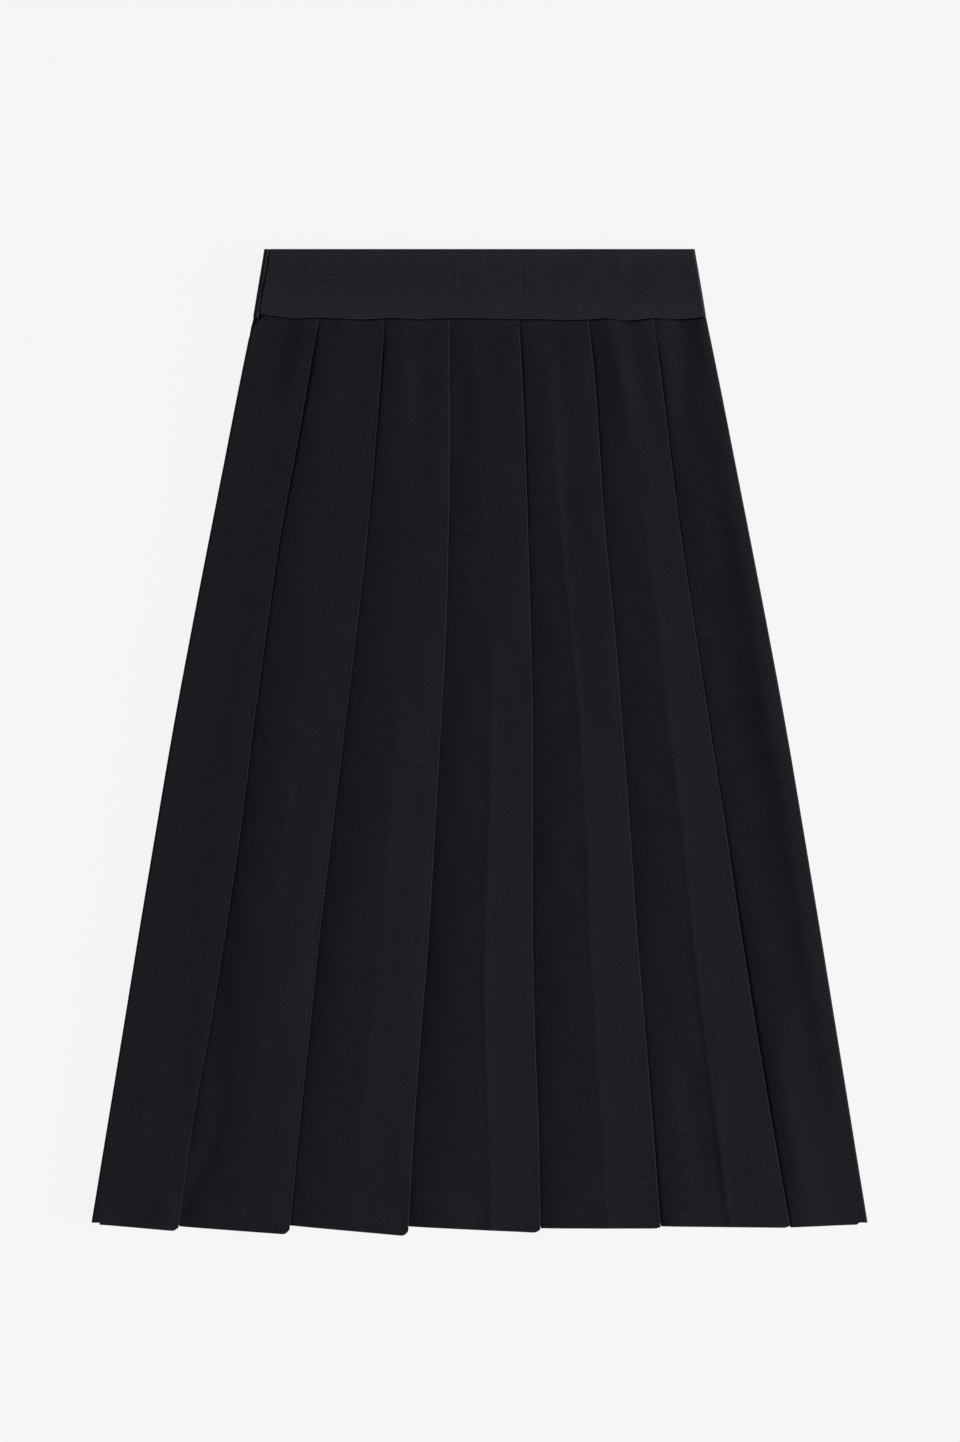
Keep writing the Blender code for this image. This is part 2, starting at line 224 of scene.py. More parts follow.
# The side edges: how far inside them the columns of their turn start, the least straight stretch half
# way round, and the turn's radii.
EDGE_REACH, LEAST_STRAIGHT = 6.5 * MM, 0.6 * MM
PANEL_ROLLS = {LEFT: 1.0 * MM, RIGHT: 0.6 * MM}
BAND_ROLLS = {LEFT: 2.6 * MM, RIGHT: 1.3 * MM}

# The side seams: radius of the lip, cloth tucked in behind it, and half the gap between both cloths.
SEAM_LIP, SEAM_TUCKED, SEAM_GAP = 0.35 * MM, 1.6 * MM, 0.15 * MM

# The panels' edges are tucked in under the waistband, fully to a margin above its edge. The back wraps
# round the left edge.
TUCK, TUCK_MARGIN, TUCK_ENDS = 1.9 * MM, 0.5 * MM, 57.1 * MM
WRAP, WRAP_ENDS = 3.7 * MM, 72.0 * MM

# The hem: radius of its fold, how much higher the hidden layers end, the step over its turned edge and
# half that step's width, the fall from there down, and the rounding at the fold with its reach.
HEM_RADIUS, HIDDEN_HEM_RISE = 0.23 * MM, 4.0 * MM
HEM_STEP, HEM_STEP_HALF, HEM_FALL = 0.2 * MM, 1.0 * MM, 0.5 * MM
HEM_ROUND, HEM_ROUND_REACH = 0.25 * MM, 0.8 * MM

# The waistband: drop of its top edge, the mouth between front and back, its clearance over the rows of
# the panel that end this far past its edge, the drops between which it climbs to the pleats and takes
# on its lower edge's waves, and the round of its edges as a share of its thickness.
BAND_DROP, MOUTH, BAND_CLEARS, ROWS_PAST = 0.8 * MM, 2.2 * MM, 0.1 * MM, 0.3 * MM
BAND_CLIMBS, BAND_WAVES = (3.0 * MM, 46.0 * MM), (20.0 * MM, 44.0 * MM)
BAND_ROUND = 0.4

# The topstitches: depth and half width of their channel, how far inside the outline a row ends, and
# how far they stand out at the back, which lies on the floor.
STITCH_SINK, STITCH_CHANNEL = 0.04 * MM, 0.9 * MM
ROW_ENDS, BACK_STITCH_OUT = 7.0 * MM, 0.04 * MM

# The studio floor's side, and how far below the skirt it lies.
FLOOR_SIDE, FLOOR_BELOW = 40.0, 0.05 * MM


class SkirtCut(PropertyGroup):
    """Sizes of the whole skirt and of its cloth."""

    length: FloatProperty(
        name="Length", description="From the waist's edge to the lowest point of the hem",
        default=0.808, min=0.4, max=1.2, unit="LENGTH", precision=4)
    band_depth: FloatProperty(
        name="Waistband depth", description="From the waist's edge to the waistband's lower edge",
        default=0.057, min=0.02, max=0.12, unit="LENGTH", precision=4)
    waist_half_width: FloatProperty(
        name="Half waist", description="From the middle to the outline at the waist's edge",
        default=0.1763, min=0.1, max=0.4, unit="LENGTH", precision=4)
    cloth: FloatProperty(
        name="Cloth thickness", description="Thickness of one layer of the skirt's cloth",
        default=0.0004, min=0.0002, max=0.001, unit="LENGTH", precision=5)
    band_cloth: FloatProperty(
        name="Waistband thickness", description="Thickness of two layers with their interlining",
        default=0.0014, min=0.0006, max=0.002, unit="LENGTH", precision=5)
    layer_pitch: FloatProperty(
        name="Layer pitch", description="From the middle of one layer of a pleat to that of the next",
        default=0.0011, min=0.0009, max=0.0015, unit="LENGTH", precision=5)
    hem_allowance: FloatProperty(
        name="Hem allowance", description="How much cloth is turned up inside the hem",
        default=0.031, min=0.01, max=0.06, unit="LENGTH", precision=4)


class SkirtSewing(PropertyGroup):
    """Sizes of the stitching."""

    stitch_pitch: FloatProperty(
        name="Stitch pitch", description="From one topstitch to the next",
        default=0.0022, min=0.001, max=0.006, unit="LENGTH", precision=5)
    stitch_length: FloatProperty(
        name="Stitch length", description="Length of thread that shows in one topstitch",
        default=0.0017, min=0.0005, max=0.006, unit="LENGTH", precision=5)
    thread: FloatProperty(
        name="Thread width", description="Width of the topstitching thread",
        default=0.00042, min=0.0001, max=0.001, unit="LENGTH", precision=5)
    edge_row: FloatProperty(
        name="Edge row", description="From the waistband's lower edge to the first row of stitches",
        default=0.0019, min=0.0005, max=0.01, unit="LENGTH", precision=5)
    upper_row: FloatProperty(
        name="Upper row", description="From the waistband's lower edge to the second row of stitches",
        default=0.0080, min=0.002, max=0.03, unit="LENGTH", precision=5)


class SkirtFinish(PropertyGroup):
    """Colours of the cloths, as sRGB hex values, and the scale of their weave."""

    cloth_dark: StringProperty(
        name="Cloth, dark fibres", description="sRGB hex colour of the darker fibres", default="110F15")
    cloth_light: StringProperty(
        name="Cloth, light fibres", description="sRGB hex colour of the lighter fibres", default="28262F")
    band_dark: StringProperty(
        name="Waistband, dark fibres", description="sRGB hex colour of the darker fibres",
        default="19171D")
    band_light: StringProperty(
        name="Waistband, light fibres", description="sRGB hex colour of the lighter fibres",
        default="33323B")
    stray: StringProperty(
        name="Stray fibres", description="sRGB hex colour of the pale stray fibres", default="4C4A54")
    thread_colour: StringProperty(
        name="Thread", description="sRGB hex colour of the sewing thread", default="28272D")
    weave: FloatProperty(
        name="Weave spacing", description="Distance between drawn yarns",
        default=0.0011, min=0.0002, max=0.01, unit="LENGTH", precision=5)


class SkirtStage(PropertyGroup):
    """The studio: the camera, the soft light and the floor."""

    camera_height: FloatProperty(
        name="Camera height", description="From the floor to the camera",
        default=3.0, min=1.0, max=10.0, unit="LENGTH")
    aim: FloatVectorProperty(
        name="Aim", description="Point on the floor under the camera",
        default=(0.00035, 0.0168), size=2, unit="LENGTH", precision=4)
    frame_height: FloatProperty(
        name="Frame height", description="Length of floor from the bottom to the top of the camera's view",
        default=1.1824, min=0.2, max=5.0, unit="LENGTH", precision=4)
    key_place: FloatVectorProperty(
        name="Key light's place", description="Middle of the soft light",
        default=(12.3, -3.0, 3.0), size=3, unit="LENGTH")
    key_size: FloatVectorProperty(
        name="Key light's size", description="Width and height of the soft light",
        default=(6.2, 3.4), size=2, unit="LENGTH")
    key_power: FloatProperty(
        name="Key light", description="Power of the soft light at the right",
        default=3180.0, min=0.0, max=20000.0, unit="POWER")
    fill: FloatProperty(
        name="Fill", description="Brightness of the white surroundings", default=0.23, min=0.0, max=3.0)
    floor_colour: StringProperty(
        name="Floor", description="sRGB hex colour of the pale floor", default="F6F6F6")


def step(value, start, end):
    """Nought up to start, one from end on, and between them 3t squared less 2t cubed."""
    t = np.clip((value - start) / (end - start), 0.0, 1.0)
    return t * t * (3 - 2 * t)


def spread(*runs):
    """Numbers from runs of (first, last, count), where each run leaves its last number out."""
    return np.concatenate([np.linspace(first, last, count, endpoint=False) for first, last, count in runs])


def curve(values, place, stations=FOLD_DROPS):
    """A cubic Hermite curve through values given at the stations, straight beyond them."""
    slopes = np.gradient(values, stations)
    inside = np.clip(place, stations[0], stations[-1])
    i = np.clip(np.searchsorted(stations, inside) - 1, 0, len(stations) - 2)
    span = stations[i + 1] - stations[i]
    t = (inside - stations[i]) / span
    between = (
        values[i] * (1 + 2 * t) * (1 - t) ** 2
        + values[i + 1] * t * t * (3 - 2 * t)
        + slopes[i] * span * t * (1 - t) ** 2
        - slopes[i + 1] * span * t * t * (1 - t)
    )
    return between + (place - inside) * np.where(place < stations[0], slopes[0], slopes[-1])


def shape(pleat, key, drop):
    """A pleat's own size at a drop, in metres: a curve through its five values, level beyond them."""
    inside = np.clip(drop, SHAPE_DROPS[0], SHAPE_DROPS[-1])
    return curve(np.array(pleat[key]) * MM, inside, SHAPE_DROPS)


def half_width(drop, cut):
    """From the middle to the outline: a straight line beside the waistband, then HALF_WIDTHS' curve."""
    slope = (HALF_WIDTHS[0] - cut.waist_half_width) / cut.band_depth
    beside_band = cut.waist_half_width + slope * drop
    return np.where(drop < cut.band_depth, beside_band, curve(HALF_WIDTHS, drop))


# ---- surfaces


def around_edge(run, edge, height, radius):
    """A line that runs out at the top to a side edge, round a quarter circle, straight down, round
    another quarter circle and back in. run is the distance along it from EDGE_REACH inside the edge,
    and the result is the place across, the height below the top, and the way it heads as an angle."""
    straight = EDGE_REACH - radius
    quarter = np.pi / 2 * radius
    first = np.clip((run - straight) / radius, 0.0, np.pi / 2)
    down = np.clip(run - straight - quarter, 0.0, height - 2 * radius)
    second = np.clip((run - straight - quarter - (height - 2 * radius)) / radius, 0.0, np.pi / 2)
    back = np.clip(run - straight - 2 * quarter - (height - 2 * radius), 0.0, None)
    across = edge - EDGE_REACH + np.minimum(run, straight) + radius * np.sin(first)
    across = across - radius * (1 - np.cos(second)) - back
    below = radius * (1 - np.cos(first)) + down + radius * np.sin(second)
    return across, below, first + second


def edge_roll(edge, height, roll, wrap, wall, points):
    """A cloth's share of a side edge, from EDGE_REACH inside it to its seam, where the cloth turns in
    round a small lip. wrap is nought for a seam half way down, and otherwise the seam's distance in
    from the edge: on the near side where it is negative, and on the far side where it is positive.
    The result is places across and heights below the near side, with one row for each of edge's."""
    radius = np.minimum(roll, (height - LEAST_STRAIGHT) / 2)
    length = 2 * (EDGE_REACH - radius) + np.pi * radius + height - 2 * radius
    past = (height / 2 + np.abs(wrap) + (np.pi / 2 - 2) * radius) * np.sign(wrap)
    end = length / 2 + past - SEAM_LIP - wall / 2 - SEAM_GAP
    t = np.linspace(0.0, 1.0, points)
    across, below, heading = around_edge(end * t, edge, height, radius)
    last_x, last_z, last_way = across[:, -1:], below[:, -1:], heading[:, -1:]
    angle = np.radians([30.0, 60.0, 90.0, 90.0])
    forward = SEAM_LIP * np.sin(angle)
    inward = SEAM_LIP * (1 - np.cos(angle)) + np.array([0.0, 0.0, 0.0, SEAM_TUCKED])
    lip_x = last_x + forward * np.cos(last_way) - inward * np.sin(last_way)
    lip_z = last_z + forward * np.sin(last_way) + inward * np.cos(last_way)
    return np.hstack([across, lip_x]), np.hstack([below, lip_z])


def swell(drop, face, cut):
    """How far a panel lies above its resting height: its lift, less a smooth step."""
    lift, ends = LIFTS[face]
    return lift * (1 - step(drop, cut.band_depth, ends))


def ditch(x, drop, cut):
    """How deep the front dips where it comes out from under the waistband: a smooth step that follows
    the band's lower edge, which is even where the back's end wraps round the left edge."""
    sag = np.where(x < EDGE_REACH - HALF_WIDTHS[0], 0.0, band_sag(x, FRONT))
    return DITCH * (1 - step(drop - cut.band_depth - sag, *DITCH_RISES))


def hem_line(x, start, fold, pleat, face):
    """Drop of the hem along a face: even at the back. At the front it runs straight from hem_from to
    hem_to, less a square curve that curls it up towards the fold."""
    if face == BACK:
        return np.full(x.shape, BACK_HEM)
    along = np.clip((x - start) / (fold - start), 0.0, 1.0)
    curl = pleat["curl"] * np.clip((x - fold) / CURL_REACH + 1, 0.0, 1.0) ** 2
    return (pleat["hem_from"] + (pleat["hem_to"] - pleat["hem_from"]) * along - curl) * MM


def rise_beside(width, before, drop):
    """How far a face has come up at some width from the fold before it: a steep smooth step as high as
    the groove, and an exponential that levels out."""
    reach = NEAR_REACH * (1 + NEAR_GROWTH * step(drop, *NEAR_GROWS))
    near = shape(before, "near", drop) * (1 - np.exp(-width / reach))
    groove = shape(before, "groove", drop)
    return groove * step(width, GROOVE_STARTS, GROOVE_ENDS + GROOVE_SLOPE * groove) + near


def face_height(x, pleat, before, start, inner, fold, first_height, drop, cut):
    """Heights of one pleat's face at the front. Past its inner fold it is a plateau that falls away to
    the outer fold by an exponential, under a ridge that fades by powers of the way there. Before the
    inner fold it rises beside the fold before and climbs the rest by a parabola. The first face has
    no fold before it and climbs by a smooth step. The crest over the inner fold is a bell curve."""
    fall = shape(pleat, "fall", drop)
    ridge = shape(pleat, "ridge", drop)
    plateau = 2 * cut.layer_pitch + fall
    s = np.clip((x - inner) / (fold - CURL_REACH - inner), 0.0, 1.0)
    lower = step(drop, *RIDGE_CHANGES)
    faded = lower * (1 - s) ** RIDGE_POWER + (1 - lower) * (1 - s * s)
    z = plateau - fall * np.exp((x - fold) / FALL_REACH) + ridge * faded
    if before:
        t = (x - start) / (inner - start)
        bow = BOW - BOW_LOSS * step(drop, *BOW_FADES)
        rest = plateau + ridge - rise_beside(inner - start, before, drop)
        climbing = rise_beside(x - start, before, drop) + rest * (t + bow * t * (1 - t))
        reach = np.minimum(PASSAGE, PASSAGE_SHARE * (inner - start))
        z = climbing + (z - climbing) * step(x, inner - reach, inner + reach)
    else:
        climbs_from = start + FIRST_CLIMB * (fold - start)
        z = z - (plateau - first_height) * (1 - step(x, climbs_from, fold - CURL_REACH))
    return z + shape(pleat, "crest", drop) * np.exp(-(((x - inner) / CREST_WIDTH) ** 2))


def front_face(pleat, before, start, inner, fold, radius, first_height, drop, cut):
    """One pleat's face at the front as columns of places across and heights, close together beside
    both folds, and its curl to its own fold, where the lip lifts it by the cube of the way."""
    room = np.minimum(inner - start, FINE_REACH)
    beside = start + room * np.array([0.01, 0.03, 0.05, 0.075, 0.1, 0.14, 0.2, 0.3])
    middle_start, middle_end = beside[:, -1:], inner - 0.45 * room
    x = np.hstack([
        beside,
        middle_start + np.linspace(0.1, 1.0, 10) * (middle_end - middle_start),
        inner - room * np.array([0.35, 0.25, 0.17, 0.1, 0.05, 0.02]),
        inner + spread((0.0, 0.25, 5), (0.25, 1.0, 6)) * (fold - CURL_REACH - inner),
    ])
    z = face_height(x, pleat, before, start, inner, fold, first_height, drop, cut)

    fall = shape(pleat, "fall", drop)
    t = (1 - pleat["bevel"] * MM / CURL_REACH) * np.array([0.0, 0.3, 0.55, 0.75, 0.88, 0.96, 1.0])
    curl_x = fold - radius - (1 - t) * (CURL_REACH - radius)
    fallen = fall * (np.exp((curl_x - fold) / FALL_REACH) * (1 - t) + t)
    curl_z = 2 * cut.layer_pitch + fall - fallen + pleat["lip"] * MM * t ** 3
    return np.hstack([x, curl_x]), np.hstack([z, curl_z])


def back_face(before, start, inner, fold, radius, first_height, cut):
    """The same at the back, whose faces are plain: a smooth step up, then level to the fold."""
    room = 2 * DESCENT if before else inner - start
    x = np.hstack([
        start + np.array([0.1, 0.25, 0.5]) * room,
        inner + np.array([0.0, 0.5]) * (fold - CURL_REACH - inner),
        fold - radius - np.array([1.0, 0.5]) * (CURL_REACH - radius),
    ])
    base = 0.0 if before else first_height
    return x, base + (2 * cut.layer_pitch - base) * step(x - start, 0.0, DESCENT)


def last_face(before, start, end, shoulder, drop):
    """The front's last face, which ends at the side edge: its rise beside the fold before fades, and
    it comes up to the edge's shoulder by a smooth step."""
    near = np.array([0.2, 0.6, 1.0, 1.5, 2.1, 3.0, 4.5, 6.5]) * MM
    middle = start + near[-1] + np.linspace(0, 1, 23)[1:-1] * (end - start - near[-1])
    x = np.hstack([start + near, middle])
    z = rise_beside(x - start, before, drop) * (1 - step((x - start) / (end - start), *LAST_FADES))
    return x, z + shoulder * step(x, end - SHOULDER_REACH, end + SHOULDER_PAST)


def hidden_layers(inner, fold, radius, pitch):
    """The rest of a pleat: back under its face, round the half circle of its inner fold, and out again
    as the lowest layer."""
    angle = np.radians(np.linspace(90.0, 270.0, 5))
    x = np.hstack([
        fold - radius + np.array([0.33, 0.67]) * (inner + pitch - fold),
        inner + pitch / 2 * (1 + np.cos(angle)),
        inner + pitch / 2 + np.array([0.5, 1.0]) * (fold - pitch - inner),
    ])
    return x, np.concatenate([np.full(2, pitch), pitch / 2 * (1 + np.sin(angle)), np.zeros(2)])


def panel_edges(share, drop, face, cut):
    """Both side edges of a panel, the one at the left as seen from outside first: distances from the
    middle and heights, with the outside up, from EDGE_REACH inside the edge to the seam."""
    edge_drop = PANEL_TOP + share * (EDGE_HEM - PANEL_TOP)
    tuck = TUCK * (1 - step(edge_drop, cut.band_depth - TUCK_MARGIN, TUCK_ENDS))
    edge = half_width(edge_drop, cut) - tuck - cut.cloth / 2
    between = FRONT_LEVEL - cut.cloth / 2 + swell(drop, FRONT, cut) - swell(drop, BACK, cut)
    grown = step(drop, *SHOULDERS_GROW)
    right = RIGHT_SHOULDER * (RIGHT_AT_FIRST + (1 - RIGHT_AT_FIRST) * step(drop, *RIGHT_GROWS))
    right = right * (1 - RIGHT_LOSS * step(drop, *RIGHT_SINKS))
    edges = []
    for side, shoulder in ((LEFT, LEFT_SHOULDER * grown), (RIGHT, right * grown)):
        height = between - ditch(side * HALF_WIDTHS[0], drop, cut) + shoulder
        wrap = -face * WRAP * (1 - step(drop, cut.band_depth, WRAP_ENDS)) if side == LEFT else 0.0
        x, below = edge_roll(edge, height, PANEL_ROLLS[side], wrap, cut.cloth, 10)
        near = shoulder if face == FRONT else 2 * cut.layer_pitch
        edges.append((x, near - below))
    return edges[::face]


def panel_columns(share, face, cut):
    """The cloth of one panel at each row, with its outside up: a list of stretches of columns from
    left to right, each of places across, heights and drops of the hem."""
    pitch = cut.layer_pitch
    drop = PANEL_TOP + share * PANEL_LENGTH
    (x, z), (last_x, last_z) = panel_edges(share, drop, face, cut)
    stretches = [(-x[:, ::-1], z[:, ::-1], EDGE_HEM)]

    start, first_height, before = -x[:, :1], z[:, :1], None
    for pleat in PLEATS:
        fold_drop = PANEL_TOP + share * (pleat["hem_to"] * MM - PANEL_TOP)
        fold = curve(np.array(pleat["fold"]) * MM, fold_drop)
        inner = fold - shape(pleat, "depth", fold_drop)
        radius = (pitch + pleat["lip"] * MM) / 2 if face == FRONT else pitch / 2
        if face == FRONT:
            x, z = front_face(pleat, before, start, inner, fold, radius, first_height, drop, cut)
        else:
            x, z = back_face(before, start, inner, fold, radius, first_height, cut)
        stretches.append((x, z, hem_line(x, start, fold, pleat, face)))

        angle = np.radians(np.linspace(90.0, -90.0, 7))
        x = fold - radius + FOLD_FLATNESS * radius * np.cos(angle)
        z = pitch + radius * (1 + np.sin(angle))
        stretches.append((x, z, hem_line(x, start, fold, pleat, face)))

        hidden_hem = hem_line(fold, start, fold, pleat, face) - HIDDEN_HEM_RISE
        stretches.append((*hidden_layers(inner, fold, radius, pitch), hidden_hem))
        start, before = fold, pleat

    end = last_x[:, :1]
    if face == FRONT:
        x, z = last_face(before, start, end, last_z[:, :1], drop)
    else:
        x = start + spread((0.02, 1.0, 6)) * DESCENT
        z = 2 * pitch * step(x - start, 0.0, DESCENT)
    stretches.append((x, z, hem_line(x, start, end, LAST_HEM, face)))
    stretches.append((last_x, last_z, EDGE_HEM))
    return stretches


def crease_height(x, drop, creases):
    """Soft creases: along each one's line a bell curve across it, faded over its first and last third."""
    total = np.zeros(np.broadcast(x, drop).shape)
    for start, end, width, height in creases:
        (x0, d0), (x1, d1) = np.array([start, end]) * MM
        length = np.hypot(x1 - x0, d1 - d0)
        way_x, way_d = (x1 - x0) / length, (d1 - d0) / length
        along = ((x - x0) * way_x + (drop - d0) * way_d) / length
        across = (x - x0) * way_d - (drop - d0) * way_x
        fade = step(along, -0.05, 0.35) * (1 - step(along, 0.65, 1.05))
        total += height * MM * fade * np.exp(-((across / (width * MM)) ** 2))
    return total


def soft_waves(x, drop):
    """Gentle unevenness of pressed cloth: the sum of a few long sine waves that cross one another."""
    waves = ((0.021, 0.006, 0.4), (-0.013, 0.017, 2.1), (0.034, -0.011, 4.0), (0.008, 0.029, 1.2))
    height = sum(np.sin(2 * np.pi * (x * a + drop * b) / MM + phase) for a, b, phase in waves)
    return 0.05 * MM * height


def hem_relief(x, drop, share, cut):
    """How the hem shows on the front, except at the side edges: a smooth step up over the turned edge
    inside it, a straight fall from there down, and an exponential rounding at its fold."""
    turned_edge = HEM_DROP - cut.hem_allowance
    relief = HEM_STEP * step(drop, turned_edge - HEM_STEP_HALF, turned_edge + HEM_STEP_HALF)
    relief = relief - HEM_FALL * np.clip((drop - turned_edge) / cut.hem_allowance, 0.0, 1.0)
    relief = relief - HEM_ROUND * np.exp((share - 1) * PANEL_LENGTH / HEM_ROUND_REACH)
    return relief * step(half_width(drop, cut) - np.abs(x), EDGE_REACH, 3 * EDGE_REACH)


def panel_rows(face, cut):
    """The rows of a panel's grid, from inside the waistband to the hem, round a half circle at its fold
    and up inside it: each one's share of the way to the hem, its distance behind the cloth of that
    share, and its distance below it."""
    if face == FRONT:
        turned_edge = HEM_DROP - cut.hem_allowance
        near_edge = turned_edge + np.array([-3.0, -1.2, -0.4, 0.4, 1.2, 3.0]) * MM
        rows = np.concatenate([
            np.array([48.0, 53.0, 56.2]) * MM,
            spread((56.9, 61.1, 14), (61.1, 76.0, 6), (76.0, 720.0, 61)) * MM,
            np.linspace(720 * MM, near_edge[0], 5, endpoint=False),
            near_edge,
            np.linspace(near_edge[-1], HEM_DROP - 3 * MM, 8)[1:],
            HEM_DROP - np.array([1.6, 0.8, 0.3, 0.0]) * MM,
        ])
    else:
        rows = spread((48.0, 57.0, 2), (57.0, 95.0, 5), (95.0, 765.0, 34))
        rows = np.append(rows, [765, 785, 796, 801]) * MM
    angle = np.radians(np.linspace(30.0, 150.0, 5))
    turned = np.linspace(0.0, cut.hem_allowance, 8)
    flat, inside = np.zeros(rows.size), np.zeros(turned.size)
    share = [(rows - PANEL_TOP) / PANEL_LENGTH, np.ones(angle.size), 1 - turned / PANEL_LENGTH]
    behind = [flat, HEM_RADIUS * (1 - np.cos(angle)), inside + 2 * HEM_RADIUS]
    below = [flat, HEM_RADIUS * np.sin(angle), inside]
    return [np.concatenate(parts)[:, None] for parts in (share, behind, below)]


def travelled(axis, *places):
    """How far it is along one axis of a grid to each point, as the sum of the distances between."""
    parts = [np.diff(place, axis=axis, prepend=place.take([0], axis)) for place in places]
    return np.sqrt(sum(part ** 2 for part in parts)).cumsum(axis)


def panel_surface(face, cut):
    """One panel as a grid of places across, heights and drops, with the way along the cloth and down
    it for the texture. The rows of its hem lie beside its cloth, square to it on the wrong side."""
    share, behind, below = panel_rows(face, cut)
    stretches = [[np.broadcast_to(value, np.broadcast(x, share).shape) for value in (x, z, hem)]
                 for x, z, hem in panel_columns(share, face, cut)]
    x, z, hem = (np.hstack(parts) for parts in zip(*stretches))
    drop = PANEL_TOP + share * (hem - PANEL_TOP)

    lift = swell(drop, face, cut)
    if face == FRONT:
        squeeze = SQUEEZE + (1 - SQUEEZE) * step(drop, cut.band_depth, SQUEEZE_ENDS)
        z = np.where(z > 0, z * squeeze, z)
        z = z + crease_height(x, drop, CREASES) + soft_waves(x, drop) + hem_relief(x, drop, share, cut)
        lift = lift - ditch(x, drop, cut)
    along_x, along_z = np.gradient(x, axis=1), np.gradient(z, axis=1)
    size = np.maximum(np.hypot(along_x, along_z), 1e-9)
    x, z = x + behind * along_z / size, z - behind * along_x / size
    drop = drop + below

    run = travelled(1, x, z)
    run = run - run[:, -1:] / 2
    down = travelled(0, drop)
    if face == FRONT:
        return x, FRONT_LEVEL + z + lift, drop, run, down
    return -x, cut.cloth / 2 + 2 * cut.layer_pitch - z + lift, drop, run, down


def cover_height(z, drop, cut):
    """Height of the middle of the waistband at its lower edge, where it lies level over the highest cloth
    of the front panel's top rows."""
    top = drop[:, 0] < cut.band_depth + ROWS_PAST
    return z[top].max() + cut.cloth / 2 + BAND_CLEARS + cut.band_cloth / 2


def band_sag(x, face):
    """How much lower the waistband's lower edge is than its mean: BAND_EDGE's curve, less a power curve
    up at both corners."""
    if face == BACK:
        return np.zeros(x.shape)
    stations, hang = BAND_EDGE.T
    sag = curve(hang, np.clip(x, stations[0], stations[-1]), stations)
    for side, (lift, reach, power) in BAND_CORNERS.items():
        sag = sag - lift * np.clip(1 - (HALF_WIDTHS[0] - side * x) / reach, 0.0, 1.0) ** power
    return sag


def band_height(x, drop, face, cover, cut):
    """Height of the middle of the waistband: flat on the floor at the back. At the front it climbs from
    the mouth to the cover over the pleats, with a soft channel under each row of stitches."""
    sewing = bpy.context.scene.skirt_sewing
    low = cut.band_cloth / 2
    if face == BACK:
        return np.full(np.broadcast(x, drop).shape, low)
    mouth = low + cut.band_cloth + MOUTH
    z = mouth + (cover - mouth) * step(drop, *BAND_CLIMBS) + crease_height(x, drop, BAND_MARKS)
    for row in (sewing.edge_row, sewing.upper_row):
        z = z - STITCH_SINK * np.exp(-(((drop - cut.band_depth + row) / STITCH_CHANNEL) ** 2))
    return z


def band_surface(face, cover, cut):
    """The front or back of the waistband as a grid: rows from the waist's edge to the lower edge, and
    columns from the left end's roll across to the right end's roll."""
    fine_from = BAND_WAVES[1]
    drop = np.append(spread((BAND_DROP, fine_from, 22)), np.linspace(fine_from, cut.band_depth, 36))[:, None]
    edge = half_width(drop, cut) - cut.band_cloth / 2
    low = band_height(edge, drop, BACK, cover, cut)
    ends = {}
    for side, roll in BAND_ROLLS.items():
        height = band_height(side * (edge - EDGE_REACH), drop, FRONT, cover, cut) - low
        wrap = -face * WRAP if side == LEFT else 0.0
        x, below = edge_roll(edge, height, roll, wrap, cut.band_cloth, 14)
        near = low + height if face == FRONT else low
        ends[side] = (side * x, near - face * below)
    t = np.linspace(-1.0, 1.0, 400 if face == FRONT else 60)[1:-1]
    x = t * (edge - EDGE_REACH)
    z = band_height(x, drop, face, cover, cut)
    x = np.hstack([ends[LEFT][0][:, ::-1], x, ends[RIGHT][0]])
    z = np.hstack([ends[LEFT][1][:, ::-1], z, ends[RIGHT][1]])
    lower = drop + band_sag(x, face) * step(drop, *BAND_WAVES)
    return x * half_width(lower, cut) / half_width(drop, cut), z, lower


# ---- meshes


def new_piece(name, points, faces, material):
    """An object of its own at the origin, from an array of places and lists of corners."""
    mesh = bpy.data.meshes.new(name)
    mesh.from_pydata(points.reshape(-1, 3).tolist(), [], faces)
    mesh.materials.append(material)
    mesh.shade_smooth()
    piece = bpy.data.objects.new(name, mesh)
    bpy.context.scene.collection.objects.link(piece)
    return piece


def cloth_piece(name, x, z, drop, run, down, wall, material, flip=False):
    """A grid of points as a piece of cloth with a wall. The first three grids are places, and run and
    down are the way along the cloth and down it, in metres, which the weave follows."""
    cut = bpy.context.scene.skirt_cut
    rows, columns = x.shape
    corner = np.arange((rows - 1) * columns).reshape(rows - 1, columns)[:, :-1].ravel()
    faces = np.column_stack([corner, corner + columns, corner + columns + 1, corner + 1])
    if flip:
        faces = faces[:, ::-1]
    piece = new_piece(name, np.stack([x, cut.length / 2 - drop, z], axis=-1), faces.tolist(), material)
    grain = np.stack([run, -down], axis=-1).reshape(-1, 2)
    layer = piece.data.uv_layers.new(name="grain")
    layer.data.foreach_set("uv", grain[faces.ravel()].astype(np.float32).ravel())
    thick = piece.modifiers.new("Cloth thickness", "SOLIDIFY")
    thick.thickness = wall
    thick.offset = 0.0
    return piece


